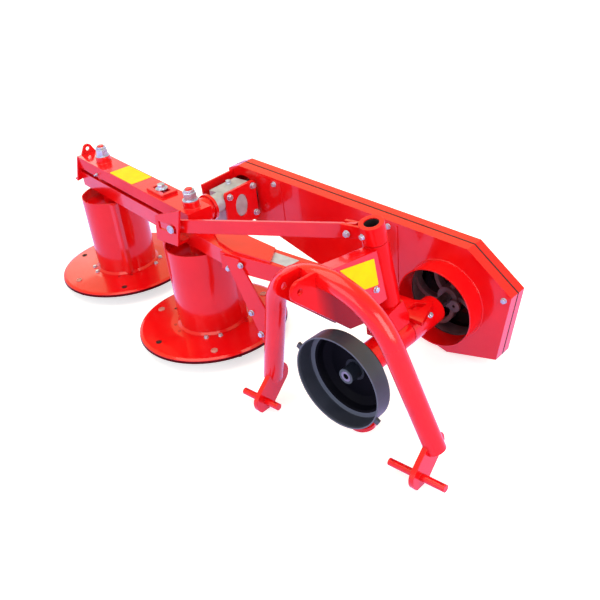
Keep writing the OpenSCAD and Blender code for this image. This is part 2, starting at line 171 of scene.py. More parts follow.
# Shaded enamel: the mast, its saddle, the drive tube and the channel, sprayed in the same red.
# They face the rest of the machine, so their upright sides mirror dark paint and not the bright floor.
# Only the tops keep the full gloss.
SHADED_SIDE = 0.11
STEEP, LEVEL = 0.3, 0.7
shaded_enamel, shaded_coat = enamel_material("shaded_enamel")
shaded_tree = shaded_enamel.node_tree
surface = shaded_tree.nodes.new("ShaderNodeNewGeometry")
slope = shaded_tree.nodes.new("ShaderNodeSeparateXYZ")
shaded_tree.links.new(surface.outputs["Normal"], slope.inputs["Vector"])
for label in ("Specular IOR Level", "Coat Weight"):
    full_gloss = shaded_coat.inputs[label].default_value
    gloss = add_range(shaded_tree, slope.outputs["Z"], STEEP, LEVEL, SHADED_SIDE, full_gloss)
    shaded_tree.links.new(gloss, shaded_coat.inputs[label])
paint_nodes(shaded_enamel, "mast_pin", "mast_sleeve", "pto_tube", "saddle", "upper_channel")


# Top link plates: two flat steel ears welded under the arch, that take the tractor's top link.
# They are sprayed with the arch, with less gloss; back from the ear, where they run under it, they are
# painted dark as painted shade.
UNDER_ARCH_SHADE = (0.30, 0.002, 0.005)
SHADE_FROM, SHADE_TO = 0.085, 0.150


def add_place(tree):
    """The piece's own coordinates, as X, Y and Z sockets."""
    place = tree.nodes.new("ShaderNodeTexCoord")
    parts = tree.nodes.new("ShaderNodeSeparateXYZ")
    tree.links.new(place.outputs["Object"], parts.inputs["Vector"])
    return parts.outputs


def overlay_colour(tree, shader, mask, colour):
    """Lays a colour over whatever already feeds the shader, where the mask is one."""
    below = shader.inputs["Base Color"].links[0].from_socket
    tree.links.new(add_mix(tree, mask, below, colour), shader.inputs["Base Color"])


link_enamel, link_coat = enamel_material("link_enamel")
paint_nodes(link_enamel, "link_left", "link_right")
link_tree = link_enamel.node_tree
ear_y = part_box("link_left")[0][1]
# Painted shade: back from the ear the plates turn dark where they run under the arch.
under_arch_shade = add_range(link_tree, add_place(link_tree)["Y"], ear_y + SHADE_FROM, ear_y + SHADE_TO, 0.0, 1.0)
overlay_colour(link_tree, link_coat, under_arch_shade, UNDER_ARCH_SHADE)
link_coat.inputs["Coat Weight"].default_value = SHADED_SIDE
link_coat.inputs["Specular IOR Level"].default_value = SHADED_SIDE


# Bright fittings: the spindle nuts, and most bolts, washers and clips, are turned and pressed steel.
# Their zinc plating is bluish white, a little cloudy, and rounded at the corners of the hexagons.
ZINC = (0.62, 0.68, 0.80)
CLOUDED_ZINC = (0.42, 0.47, 0.58)
zinc_plate, plating = coated_material(
    "zinc_plate", ZINC, CLOUDED_ZINC,
    patches=60.0, grain=700.0, bright=0.2, dull=0.36, depth=0.00006, edge=0.0016)
plating.inputs["Metallic"].default_value = 0.7
paint_nodes(zinc_plate, "spindle_nut_1", "spindle_nut_2")


# Power take-off stub: the turned steel end of the drive shaft, which runs in the tube behind it.
# It is left bare and oiled, with fine turning marks.
BARE_STEEL = (0.34, 0.34, 0.36)
OILED_STEEL = (0.20, 0.20, 0.22)
bare_steel, turned = coated_material(
    "bare_steel", BARE_STEEL, OILED_STEEL,
    patches=40.0, grain=900.0, bright=0.24, dull=0.4, depth=0.00005, edge=0.001)
turned.inputs["Metallic"].default_value = 1.0
paint_nodes(bare_steel, "drive_shaft")


# Gearbox housing: an aluminium sand casting that stands between the channel and the belt guard.
# It is left raw, with a grainy matt skin and soft edges.
CASTING = (0.52, 0.54, 0.60)
DULL_CASTING = (0.36, 0.37, 0.42)
cast_aluminium, casting = coated_material(
    "cast_aluminium", CASTING, DULL_CASTING,
    patches=30.0, grain=380.0, bright=0.38, dull=0.55, depth=0.0006, edge=0.004)
casting.inputs["Metallic"].default_value = 0.35
paint_nodes(cast_aluminium, "gearbox")


# Drive shaft bell: one moulding in blue-black plastic with a fine satin spark texture.
# The mouth's edge and the ledge inside are painted paler as painted highlights, the outer skirt carries a
# painted sheen, and the deep floor inside is painted near black and less glossy as painted shade.
BELL_BLACK = (0.022, 0.026, 0.042)
BELL_GREY = (0.032, 0.037, 0.058)
PAINTED_RIM_HIGHLIGHT = (0.085, 0.100, 0.150)
SKIRT_SHEEN = (0.050, 0.058, 0.082)
BELL_FLOOR_SHADE = (0.003, 0.003, 0.006)
LEDGE_IN, LEDGE_OUT = 0.1265, 0.1385
SKIRT_R = 0.1415
LEDGE_DEPTH = 0.044
LIP = 0.0018
FLOOR_GLOSS = 0.04


def middle(node):
    """The middle of a CAD node's box."""
    low, high = (Vector(corner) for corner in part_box(node))
    return (low + high) / 2


def add_math(tree, operation, first, second):
    """One step of arithmetic on masks; the second is a socket or a number."""
    step = tree.nodes.new("ShaderNodeMath")
    step.operation = operation
    tree.links.new(first, step.inputs[0])
    if isinstance(second, (int, float)):
        step.inputs[1].default_value = second
    else:
        tree.links.new(second, step.inputs[1])
    return step.outputs["Value"]


def add_axis_place(tree, centre):
    """Distance from an axis along Y through a centre, and the place along Y."""
    place = tree.nodes.new("ShaderNodeTexCoord")
    shift = tree.nodes.new("ShaderNodeVectorMath")
    shift.operation = "SUBTRACT"
    shift.inputs[1].default_value = centre
    across = tree.nodes.new("ShaderNodeVectorMath")
    across.operation = "MULTIPLY"
    across.inputs[1].default_value = (1, 0, 1)
    length = tree.nodes.new("ShaderNodeVectorMath")
    length.operation = "LENGTH"
    parts = tree.nodes.new("ShaderNodeSeparateXYZ")
    tree.links.new(place.outputs["Object"], shift.inputs[0])
    tree.links.new(shift.outputs["Vector"], across.inputs[0])
    tree.links.new(across.outputs["Vector"], length.inputs[0])
    tree.links.new(place.outputs["Object"], parts.inputs["Vector"])
    return length.outputs["Value"], parts.outputs["Y"]


bell_plastic, moulding = coated_material(
    "bell_plastic", BELL_BLACK, BELL_GREY,
    patches=14.0, grain=900.0, bright=0.34, dull=0.5, depth=0.00015, edge=0.002)
paint_nodes(bell_plastic, "pto_bell")
bell_tree = bell_plastic.node_tree
mouth_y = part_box("pto_bell")[0][1]
bell_radius, bell_place = add_axis_place(bell_tree, middle("pto_bell"))
inside = add_math(bell_tree, "GREATER_THAN", bell_place, mouth_y + LEDGE_DEPTH)
past_floor = add_math(bell_tree, "GREATER_THAN", bell_radius, LEDGE_IN)
within_skirt = add_math(bell_tree, "LESS_THAN", bell_radius, LEDGE_OUT)
ledge = add_math(bell_tree, "MULTIPLY", past_floor, within_skirt)
on_floor = add_math(bell_tree, "LESS_THAN", bell_radius, LEDGE_IN)
deep = add_math(bell_tree, "MULTIPLY", inside, on_floor)
# Painted light: near black painted shade on the deep floor, a painted sheen on the outer skirt, painted
# highlights on the ledge and the mouth's edge.
bell_light_and_shade = ((deep, BELL_FLOOR_SHADE),
              (add_math(bell_tree, "GREATER_THAN", bell_radius, SKIRT_R), SKIRT_SHEEN),
              (add_math(bell_tree, "MULTIPLY", inside, ledge), PAINTED_RIM_HIGHLIGHT),
              (add_math(bell_tree, "LESS_THAN", bell_place, mouth_y + LIP), PAINTED_RIM_HIGHLIGHT))
for mask, colour in bell_light_and_shade:
    overlay_colour(bell_tree, moulding, mask, colour)
bell_gloss = moulding.inputs["Specular IOR Level"]
bell_tree.links.new(add_range(bell_tree, deep, 0.0, 1.0, bell_gloss.default_value, FLOOR_GLOSS), bell_gloss)


# Belt pulleys: two grey iron castings, keyed on the drive shaft and on the gearbox shaft.
# They are dipped in dark brown primer, which shows the grain of the sand mould.
PRIMER = (0.105, 0.055, 0.068)
WORN_PRIMER = (0.170, 0.095, 0.110)
pulley_iron = coated_material(
    "pulley_iron", PRIMER, WORN_PRIMER,
    patches=25.0, grain=300.0, bright=0.4, dull=0.6, depth=0.0005, edge=0.002)[0]
paint_nodes(pulley_iron, "big_pulley", "small_pulley")


# Belt guard's back half: a folded sheet steel tray, bolted to the front half round its edge.
# It is enamelled, and behind the big pulley its inside is painted near black as painted shade.
PULLEY_SHADE = (0.010, 0.003, 0.004)
PULLEY_SHADE_R = 0.16
WALL_SKIN = 0.0012
guard_enamel, guard_coat = enamel_material("guard_enamel")
paint_nodes(guard_enamel, "guard_rear")
guard_tree = guard_enamel.node_tree
guard_radius, guard_place = add_axis_place(guard_tree, middle("big_pulley"))
# Painted shade: the inside behind the big pulley is painted near black.
by_pulley = add_math(guard_tree, "LESS_THAN", guard_radius, PULLEY_SHADE_R)
inner_face = add_math(guard_tree, "LESS_THAN", guard_place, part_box("guard_rear")[1][1] - WALL_SKIN)
behind_pulley_shade = add_math(guard_tree, "MULTIPLY", by_pulley, inner_face)
overlay_colour(guard_tree, guard_coat, behind_pulley_shade, PULLEY_SHADE)


# Cutting discs and skid saucers: enamelled steel pressings under the drums.
# The discs are bolted on, and the saucers run free below them.
# The turned down rim and all below it, the saucers too, are painted dark and dull: painted shade under the
# disc's edge.
RIM_SHADE = (0.085, 0.002, 0.006)
DULL_RIM = 0.02
RIM_DROP = 0.0095
DISC_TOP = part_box("disc_2")[1][2]
disc_enamel, disc_coat = enamel_material("disc_enamel")
paint_nodes(disc_enamel, "disc_1", "disc_2", "saucer_1", "saucer_2")
disc_tree = disc_enamel.node_tree
# Painted shade: everything below the rim drop is painted dark maroon and dull.
shaded_rim = add_math(disc_tree, "LESS_THAN", add_place(disc_tree)["Z"], DISC_TOP - RIM_DROP)
overlay_colour(disc_tree, disc_coat, shaded_rim, RIM_SHADE)
for label in ("Specular IOR Level", "Coat Weight"):
    full_gloss = disc_coat.inputs[label].default_value
    gloss = add_range(disc_tree, shaded_rim, 0.0, 1.0, full_gloss, DULL_RIM)
    disc_tree.links.new(gloss, disc_coat.inputs[label])


# Disc bolts: zinc plated hexagon bolts in pairs round each drum's foot, on flat washers.
# They clamp the drum's flange to the cutting disc, and turn with it.
def pick_faces(piece, wanted):
    """Leaves the piece in edit mode with the faces that pass the test selected."""
    bpy.ops.object.mode_set(mode="EDIT")
    bpy.ops.mesh.select_mode(type="FACE")
    bpy.ops.mesh.select_all(action="DESELECT")
    bpy.ops.object.mode_set(mode="OBJECT")
    for face in piece.data.polygons:
        face.select = wanted(face)
    bpy.ops.object.mode_set(mode="EDIT")


def faces_up(face):
    """True for a face that looks along +Z."""
    return face.normal.z > 0.9


def stand_cylinder(sides, radius, foot, head):
    """A plain cylinder on the Z axis between two heights, selected alone."""
    bpy.ops.object.select_all(action="DESELECT")
    bpy.ops.mesh.primitive_cylinder_add(vertices=sides, radius=radius, depth=head - foot,
                                        location=(0, 0, (foot + head) / 2))
    bpy.ops.object.transform_apply()
    return bpy.context.object


BOLT_FLATS = 0.016
BOLT_HEAD = 0.0064
CROWN_H = BOLT_HEAD * 0.16
CROWN_TAPER = 0.86
CROWN_RIM = BOLT_FLATS * 0.06
WASHER_R = 0.0105
WASHER_T = 0.0018
WASHER_EDGE = WASHER_T * 0.35


def model_bolt():
    """A hexagon bolt head on its washer, seated at the origin and looking along +Z."""
    head = stand_cylinder(6, BOLT_FLATS / math.sqrt(3), WASHER_T, WASHER_T + BOLT_HEAD)
    pick_faces(head, faces_up)
    bpy.ops.mesh.extrude_region_move(TRANSFORM_OT_translate={"value": (0, 0, CROWN_H)})
    bpy.ops.transform.resize(value=(CROWN_TAPER, CROWN_TAPER, 1))
    bpy.ops.mesh.inset(thickness=CROWN_RIM)
    bpy.ops.object.mode_set(mode="OBJECT")
    washer = stand_cylinder(28, WASHER_R, 0, WASHER_T)
    pick_faces(washer, faces_up)
    bpy.ops.mesh.bevel(offset=WASHER_EDGE, segments=2)
    bpy.ops.object.mode_set(mode="OBJECT")
    head.select_set(True)
    bpy.context.view_layer.objects.active = head
    bpy.ops.object.join()
    return head


def seat(normal):
    """The turn that lays a piece's +Z along a surface normal."""
    return Vector(normal).to_track_quat("Z", "Y").to_matrix().to_4x4()


def set_copies(name, model, places, body, material):
    """Copies a model to each (place, normal, scale), as one named piece that rides on a body."""
    copies = []
    for place, normal, scale in places:
        copy = model.copy()
        copy.data = model.data.copy()
        copy.data.transform(Matrix.Translation(place) @ seat(normal) @ Matrix.Scale(scale, 4))
        bpy.context.collection.objects.link(copy)
        copies.append(copy)
    bpy.ops.object.select_all(action="DESELECT")
    for copy in copies:
        copy.select_set(True)
    bpy.context.view_layer.objects.active = copies[0]
    if len(copies) > 1:
        bpy.ops.object.join()
    piece = copies[0]
    piece.name = name
    piece.data.materials.clear()
    piece.data.materials.append(material)
    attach(piece, body)
    return piece


def round_drum(node, radius, degrees, height):
    """A point at that radius and angle about a drum's axis."""
    centre = middle(node)
    angle = math.radians(degrees)
    return Vector((centre.x + radius * math.cos(angle), centre.y + radius * math.sin(angle), height))


UP = (0, 0, 1)
PAIR_HALF = 10.5
FOOT_R = 0.134
DISC_BOLT_SCALE = 0.8
BOLTED_PAIRS = {1: (-114, 30, 174), 2: (-42, 102)}
bolt = model_bolt()
for index, pairs in BOLTED_PAIRS.items():
    set_copies(f"disc_bolts_{index}", bolt,
               [(round_drum(f"drum_{index}", FOOT_R, pair + side, DISC_TOP), UP, DISC_BOLT_SCALE)
                for pair in pairs for side in (-PAIR_HALF, PAIR_HALF)],
               f"cutter_{index}", zinc_plate)


# Spare holes: each disc has drilled pairs that take no bolt, one lone hole, and a window between the knives.
# Each is a small black mouth with a narrow rim, sunk in its middle: painted shade for the dark inside of the
# hole.
HOLE_R = 0.0046
MOUTH_T = 0.0012
MOUTH_RIM = HOLE_R * 0.15
MOUTH_DEEP = 0.0008
SPARE_PAIRS = {1: (-42, 102), 2: (-114, 30, 174)}
LONE_R, LONE_TURN, LONE_SUNK = 0.165, -167, 0.0003
KNIVES = 3
KNIFE_STEP = 360 / KNIVES
KNIFE_R = 0.216
KNIFE_FIRST = {1: -101.6, 2: -41.6}
WINDOW_R = KNIFE_R + 0.003
WINDOW_SCALE = 2.2
WINDOW_SUNK = 0.0028
BLACK = (0.008, 0.004, 0.004)
DUSTY_BLACK = (0.016, 0.006, 0.006)
hole_shadow = coated_material(
    "hole_shadow", BLACK, DUSTY_BLACK,
    patches=60.0, grain=500.0, bright=0.7, dull=0.9, depth=0.00005, edge=0.0002)[0]


def model_hole():
    """The mouth of a drilled hole: a thin ring sunk in its middle, seated at the origin."""
    mouth = stand_cylinder(20, HOLE_R, -MOUTH_T / 2, MOUTH_T / 2)
    pick_faces(mouth, faces_up)
    bpy.ops.mesh.inset(thickness=MOUTH_RIM)
    bpy.ops.mesh.extrude_region_move(TRANSFORM_OT_translate={"value": (0, 0, -MOUTH_DEEP)})
    bpy.ops.object.mode_set(mode="OBJECT")
    return mouth


hole = model_hole()
# Each mark is a black ring, painted shade for the dark inside of a hole.
for index, pairs in SPARE_PAIRS.items():
    drum = f"drum_{index}"
    spare = [(round_drum(drum, FOOT_R, pair + side, DISC_TOP), UP, 1.0)
             for pair in pairs for side in (-PAIR_HALF, PAIR_HALF)]
    spare.append((round_drum(drum, LONE_R, LONE_TURN, DISC_TOP - LONE_SUNK), UP, 1.0))
    for knife in range(KNIVES):
        turn = KNIFE_FIRST[index] + KNIFE_STEP * (knife + 0.5)
        spare.append((round_drum(drum, WINDOW_R, turn, DISC_TOP - WINDOW_SUNK), UP, WINDOW_SCALE))
    set_copies(f"spare_holes_{index}", hole, spare, f"cutter_{index}", hole_shadow)


# Knife bolts: large cup heads near the discs' rims, three to a disc, that the knives swing on.
# They are pressed into the disc from above, and grass has rubbed them bare.
KNIFE_HEAD_R, KNIFE_HEAD_H = 0.012, 0.005
HEAD_SUNK = 0.001
HEAD_EDGE = 0.002
DIMPLE_RIM, DIMPLE_DEEP = 0.003, 0.0015
KNIFE_DROOP = 0.0025


def model_knife_head():
    """A cup head with a rounded edge and a shallow round dimple, seated at the origin."""
    head = stand_cylinder(36, KNIFE_HEAD_R, -HEAD_SUNK, KNIFE_HEAD_H - HEAD_SUNK)
    pick_faces(head, faces_up)
    bpy.ops.mesh.bevel(offset=HEAD_EDGE, segments=3)
    bpy.ops.object.mode_set(mode="OBJECT")
    pick_faces(head, faces_up)
    bpy.ops.mesh.inset(thickness=DIMPLE_RIM)
    bpy.ops.mesh.extrude_region_move(TRANSFORM_OT_translate={"value": (0, 0, -DIMPLE_DEEP)})
    bpy.ops.object.mode_set(mode="OBJECT")
    return head


WORN_HEAD = (0.55, 0.36, 0.32)
PAINTED_HEAD = (0.72, 0.06, 0.05)
worn_heads = coated_material(
    "worn_heads", WORN_HEAD, PAINTED_HEAD,
    patches=160.0, grain=600.0, bright=0.25, dull=0.4, depth=0.0001, edge=0.001)[0]
knife_head = model_knife_head()
for index, first in KNIFE_FIRST.items():
    turns = [first + KNIFE_STEP * knife for knife in range(KNIVES)]
    set_copies(f"knife_bolts_{index}", knife_head,
               [(round_drum(f"drum_{index}", KNIFE_R, turn, DISC_TOP - KNIFE_DROOP), UP, 1.0)
                for turn in turns],
               f"cutter_{index}", worn_heads)
bpy.data.objects.remove(knife_head)


# Guard plates: the belt guard's face carries a flat mounting plate by the gearbox and a joint strip.
# Both are thin sheet, spot welded flat on the guard and painted with it.
SHEET_T = 0.0025


def lay_sheet(corners, corner_r, thickness, offset=1):
    """A bare sheet over four corners in order, thickened to the side that they turn about."""
    bpy.ops.object.select_all(action="DESELECT")
    bpy.ops.mesh.primitive_plane_add(size=1)
    sheet = bpy.context.object
    for vertex, corner in zip((0, 1, 3, 2), corners):
        sheet.data.vertices[vertex].co = corner
    bpy.ops.object.mode_set(mode="EDIT")
    bpy.ops.mesh.select_all(action="SELECT")
    bpy.ops.mesh.bevel(offset=corner_r, segments=4, affect="VERTICES")
    bpy.ops.object.mode_set(mode="OBJECT")
    body_of_sheet = sheet.modifiers.new("thickness", "SOLIDIFY")
    body_of_sheet.thickness = thickness
    body_of_sheet.offset = offset
    bpy.ops.object.modifier_apply(modifier="thickness")
    return sheet


def model_sheet(name, corners, corner_r, thickness, body, material):
    """A sheet over four corners in order, that stands on the plate below it by its thickness."""
    sheet = lay_sheet(corners, corner_r, thickness)
    sheet.name = name
    sheet.data.materials.append(material)
    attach(sheet, body)
    return sheet


def off(node, x, y, z):
    """A point measured from the low corner of a node's box."""
    return Vector(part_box(node)[0]) + Vector((x, y, z))


GUARD_FALL = 0.0854
PLATE_LEFT, PLATE_RIGHT = 0.165, 0.286
PLATE_FOOT_LEFT, PLATE_FOOT_RIGHT = 0.28, 0.26
PLATE_TOP = 0.460
PLATE_CORNER = 0.006
plate_top_left = PLATE_TOP + GUARD_FALL * (PLATE_RIGHT - PLATE_LEFT)
model_sheet("guard_plate",
            [off("guard_front", x, 0, z)
             for x, z in ((PLATE_LEFT, PLATE_FOOT_LEFT), (PLATE_RIGHT, PLATE_FOOT_RIGHT),
                          (PLATE_RIGHT, PLATE_TOP), (PLATE_LEFT, plate_top_left))],
            PLATE_CORNER, SHEET_T, "mower", red_enamel)
STRIP_X, STRIP_W = 0.7785, 0.010
STRIP_FOOT, STRIP_TOP = 0.207, 0.414
STRIP_LEAN = 0.010
STRIP_CORNER = 0.002
strip_foot_x = STRIP_X - STRIP_LEAN
model_sheet("guard_strip",
            [off("guard_front", x, 0, z)
             for x, z in ((strip_foot_x, STRIP_FOOT), (strip_foot_x + STRIP_W, STRIP_FOOT),
                          (STRIP_X + STRIP_W, STRIP_TOP), (STRIP_X, STRIP_TOP))],
            STRIP_CORNER, SHEET_T, "mower", red_enamel)


# Gearbox face: a flat plate over the casting's round boss, which shows through an oval window.
# It is laser cut, painted red, and held by four bolts.
FACE_T = 0.0072
FACE_LAP = 0.0047
FACE_CORNER = 0.009
FACE_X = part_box("gearbox")[1][0] - FACE_LAP
OVAL_W, OVAL_H = 0.0287, 0.0417
OVAL_LEAN = math.radians(10.7)
OVAL_FORWARD = 0.0065
CUTTER_L = 0.05
cover_low, cover_high = (Vector(corner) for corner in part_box("gearbox_cover"))


def cut_hole(piece, cutter):
    """Takes the cutter's volume out of a piece and throws the cutter away."""
    bpy.ops.object.select_all(action="DESELECT")
    bpy.context.view_layer.objects.active = piece
    cut = piece.modifiers.new("hole", "BOOLEAN")
    cut.object = cutter
    cut.solver = "EXACT"
    bpy.ops.object.modifier_apply(modifier="hole")
    bpy.data.objects.remove(cutter)


face = model_sheet("gearbox_face",
                   [(FACE_X, cover_low.y - 0.0175, cover_low.z - 0.005),
                    (FACE_X, cover_high.y + 0.005, cover_low.z - 0.010),
                    (FACE_X, cover_high.y + 0.008, cover_high.z + 0.0015),
                    (FACE_X, cover_low.y - 0.013, cover_high.z + 0.0045)],
                   FACE_CORNER, FACE_T, "mower", red_enamel)
boss = middle("gearbox_cover")
bpy.ops.mesh.primitive_cylinder_add(vertices=48, radius=1, depth=CUTTER_L,
                                    location=(FACE_X, boss.y - OVAL_FORWARD, boss.z),
                                    rotation=(-OVAL_LEAN, math.radians(90), 0))
oval = bpy.context.object
oval.scale = (OVAL_H, OVAL_W, 1)
bpy.ops.object.transform_apply()
cut_hole(face, oval)


# Window plate: the flat stop plate over the roll sleeve, with a tapered window that shows the sleeve.
# It is cut from plate and welded to the knuckle, and has its corners rounded.
STOP_CORNERS = ((0.036, -0.003), (0.129, -0.009), (0.089, 0.107), (-0.004, 0.068))
WINDOW_CORNERS = ((0.046, 0.030), (0.076, 0.038), (0.080, 0.086), (0.046, 0.072))
STOP_ROUND, WINDOW_ROUND = 0.004, 0.006
STOP_STOUTER = 1.6
stop_t = (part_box("window_plate")[1][2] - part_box("window_plate")[0][2]) * STOP_STOUTER
stop = model_sheet("stop_plate", [off("window_plate", x, y, 0) for x, y in STOP_CORNERS],
                   STOP_ROUND, stop_t, "mower", red_enamel)
window = lay_sheet([off("window_plate", x, y, 0) for x, y in WINDOW_CORNERS], WINDOW_ROUND, stop_t * 5, 0)
cut_hole(stop, window)
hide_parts("window_plate")


# Structure bolts: hexagon bolts that hold the strap, belt guard, gearbox cover, gusset and stay.
# All are zinc plated, on flat washers, and sit square on the plate they clamp.
FORWARD = (0, -1, 0)
BACK = (0, 1, 0)
RIGHT = (1, 0, 0)
STRAP_OUT = (0.103, -0.995, 0)
STAY_OUT = (0.119, -0.993, 0)
STAY_IN = (-0.119, 0.993, 0)
COLLAR_OUT = (-0.276, -0.947, -0.167)
SLEEVE_OUT = (0.834, 0, 0.552)
COVER_INSET = 0.015
COVER_FRONT, COVER_REAR = 0.007, 0.008
guard_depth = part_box("guard_rear")[1][1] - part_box("guard_rear")[0][1]
bolt_sets = {
    "plate_bolt": ("mower", [(off("guard_front", 0.2552, -SHEET_T, 0.4473), FORWARD, 0.95)]),
    "guard_bolts": ("mower", [(off("guard_front", x, 0, z), FORWARD, 0.95)
                              for x, z in ((0.7500, 0.4049), (1.1674, 0.2629))]),
    "guard_back_bolts": ("mower", [(off("guard_rear", x, guard_depth, z), BACK, 0.95)
                                   for x, z in ((0.08, 0.44), (0.42, 0.43), (0.75, 0.40), (1.15, 0.28),
                                                (0.09, 0.33), (0.45, 0.21), (0.80, 0.09), (1.10, 0.06))]),
    "cover_bolts": ("mower", [((FACE_X + FACE_T, y, z), RIGHT, 1.15)
                              for y in (cover_low.y + COVER_FRONT, cover_high.y - COVER_REAR)
                              for z in (cover_low.z + COVER_INSET, cover_high.z - COVER_INSET)]),
    "strap_bolts": ("mower", [(off("arm", 0.1312, 0.0027, 0.0065), STRAP_OUT, 0.9),
                              (off("swath_plate", 0.0704, 0.0072, 0.2839), STRAP_OUT, 0.9),
                              (off("swath_plate", 0.0839, 0.0086, 0.1169), STRAP_OUT, 0.95),
                              (off("swath_plate", 0.1105, 0.0113, 0.0446), STRAP_OUT, 1.0)]),
    "gearbox_plug": ("mower", [(off("gearbox", 0.0148, 0.1351, 0.1250), UP, 1.1)]),
    "sleeve_bolt": ("mower", [(off("roll_sleeve", 0.0781, 0.0822, 0.0704), SLEEVE_OUT, 0.9)]),
    "stay_bolts": ("stay_bar", [(off("stay", 0.7135, 0.0909, 0.1454), STAY_OUT, 1.0),
                                (off("stay", 0.7083, 0.1345, 0.1454), STAY_IN, 1.0)]),
    "collar_bolt": ("carrier", [(off("mast_pin", 0.0865, 0.0059, 0.2502), COLLAR_OUT, 0.9)]),
    "gusset_bolt": ("hitch", [(off("gusset", 0.010, 0.1631, 0.0538), RIGHT, 0.95)]),
}
for name, (body, places) in bolt_sets.items():
    set_copies(name, bolt, places, body, zinc_plate)


# Stay pin keeper: a flat washer and a ring clip hold the stay's plain pin in its bracket.
# Both are zinc plated; the clip goes through a cross hole in the pin's end.
KEEPER_R, KEEPER_T, KEEPER_EDGE = 0.0145, 0.0025, 0.0008
CLIP_R, WIRE_R = 0.0105, 0.0011
CLIP_DROP, CLIP_OUT = 0.003, 0.0042
CLIP_LEAN = math.radians(12)
KEEPER_PLAY = 0.002


def model_keeper():
    """A flat washer with a wire ring hung before it, seated at the origin and looking along +Z."""
    washer = stand_cylinder(36, KEEPER_R, 0, KEEPER_T)
    pick_faces(washer, faces_up)
    bpy.ops.mesh.bevel(offset=KEEPER_EDGE, segments=2)
    bpy.ops.object.mode_set(mode="OBJECT")
    bpy.ops.mesh.primitive_torus_add(major_segments=36, minor_segments=8,
                                     major_radius=CLIP_R, minor_radius=WIRE_R,
                                     location=(0, -CLIP_DROP, CLIP_OUT), rotation=(CLIP_LEAN, 0, 0))
    bpy.ops.object.transform_apply()
    washer.select_set(True)
    bpy.context.view_layer.objects.active = washer
    bpy.ops.object.join()
    return washer


keeper = model_keeper()
pin_end = off("stay", 0.0320, 0.0045, 0.0264)
set_copies("stay_pin_keeper", keeper, [(pin_end + Vector(STAY_OUT) * KEEPER_PLAY, STAY_OUT, 1.0)],
           "stay_bar", zinc_plate)
bpy.data.objects.remove(keeper)


# Grease nipple: a small turned steel fitting with a ball end, screwed into the channel by the outer spindle.
# It is zinc plated, and looks out of the channel's front wall.
NIPPLE_R, NIPPLE_FOOT, NIPPLE_RIM = 0.0052, 0.005, 0.0016
NIPPLE_SCALE = 1.2
CHANNEL_OUT = (-0.167, -0.986, 0)


def model_nipple():
    """A hexagon foot, a tapered neck and a ball, seated at the origin and looking along +Z."""
    foot = stand_cylinder(6, NIPPLE_R, 0, NIPPLE_FOOT)
    pick_faces(foot, faces_up)
    bpy.ops.mesh.inset(thickness=NIPPLE_RIM)
    for rise, spread in ((0.004, 0.7), (0.0016, 1.5), (0.0016, 0.6)):
        bpy.ops.mesh.extrude_region_move(TRANSFORM_OT_translate={"value": (0, 0, rise)})
        bpy.ops.transform.resize(value=(spread, spread, 1))
    bpy.ops.object.mode_set(mode="OBJECT")
    return foot


nipple = model_nipple()
set_copies("grease_nipple", nipple,
           [(off("upper_channel", 0.1552, 0.1119, 0.0127), CHANNEL_OUT, NIPPLE_SCALE)],
           "mower", zinc_plate)
bpy.data.objects.remove(nipple)


# Spindle ends: each spindle stands through the channel in a low boss, with a thread for its nut.
# The nut is a zinc plated hexagon on a flat washer, with a turned lock collar above its flats.
RING_EDGE = 0.2
SHAFT_EDGE = 0.07
NUT_CROWN, NUT_TAPER = 0.12, 0.91


def model_ring(outer, inner, height):
    """A turned ring with broken edges, standing at the origin along +Z."""
    ring = stand_cylinder(48, outer, 0, height)
    pick_faces(ring, lambda face: abs(face.normal.z) > 0.9)
    bpy.ops.mesh.inset(thickness=outer - inner)
    bpy.ops.mesh.bridge_edge_loops()
    bpy.ops.object.mode_set(mode="OBJECT")
    edges = ring.modifiers.new("edges", "BEVEL")
    edges.width = min(height, outer - inner) * RING_EDGE
    edges.segments = 2
    edges.limit_method = "ANGLE"
    bpy.ops.object.modifier_apply(modifier="edges")
    return ring


def set_ring(name, outer, inner, height, place, normal, body, material):
    """One turned ring at a place, looking along a normal."""
    ring = model_ring(outer, inner, height)
    set_copies(name, ring, [(place, normal, 1.0)], body, material)
    bpy.data.objects.remove(ring)


def model_shaft(steps):
    """Joined round lengths on the Z axis; each step is (radius, foot, head)."""
    lengths = []
    for radius, foot, head in steps:
        length = stand_cylinder(48, radius, foot, head)
        pick_faces(length, faces_up)
        bpy.ops.mesh.bevel(offset=radius * SHAFT_EDGE, segments=2)
        bpy.ops.object.mode_set(mode="OBJECT")
        lengths.append(length)
    for length in lengths:
        length.select_set(True)
    bpy.ops.object.join()
    return bpy.context.object


def model_nut(flats, height):
    """A hexagon nut with its upper corners turned off, standing at the origin."""
    nut = stand_cylinder(6, flats / math.sqrt(3), 0, height)
    pick_faces(nut, faces_up)
    bpy.ops.mesh.extrude_region_move(TRANSFORM_OT_translate={"value": (0, 0, height * NUT_CROWN)})
    bpy.ops.transform.resize(value=(NUT_TAPER, NUT_TAPER, 1))
    bpy.ops.object.mode_set(mode="OBJECT")
    return nut


SPINDLE_R = 0.025
SPACER_R = 0.037
BOSS_R, BOSS_H = 0.0275, 0.024
STUD_R = 0.0118
STUD_IN, STUD_OUT = 0.004, 0.004
CHANNEL_T = 0.006
NUT_FLATS, NUT_H = 0.041, 0.023
NUT_WASHER_R, NUT_WASHER_BORE, NUT_WASHER_T = 0.0270, 0.0125, 0.0035
COLLAR_R, COLLAR_BORE, COLLAR_H = 0.0180, 0.0120, 0.008
channel_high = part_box("upper_channel")[1][2]
boss_top = channel_high + BOSS_H
nut_foot = boss_top + NUT_WASHER_T
nut_top = nut_foot + NUT_H * (1 + NUT_CROWN)
spindle = model_shaft([(SPINDLE_R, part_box("spindle_1")[0][2], channel_high),
                       (SPACER_R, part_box("lower_beam")[1][2], channel_high - CHANNEL_T),
                       (BOSS_R, channel_high - CHANNEL_T, boss_top),
                       (STUD_R, boss_top - STUD_IN, nut_top + COLLAR_H + STUD_OUT)])
nut = model_nut(NUT_FLATS, NUT_H)
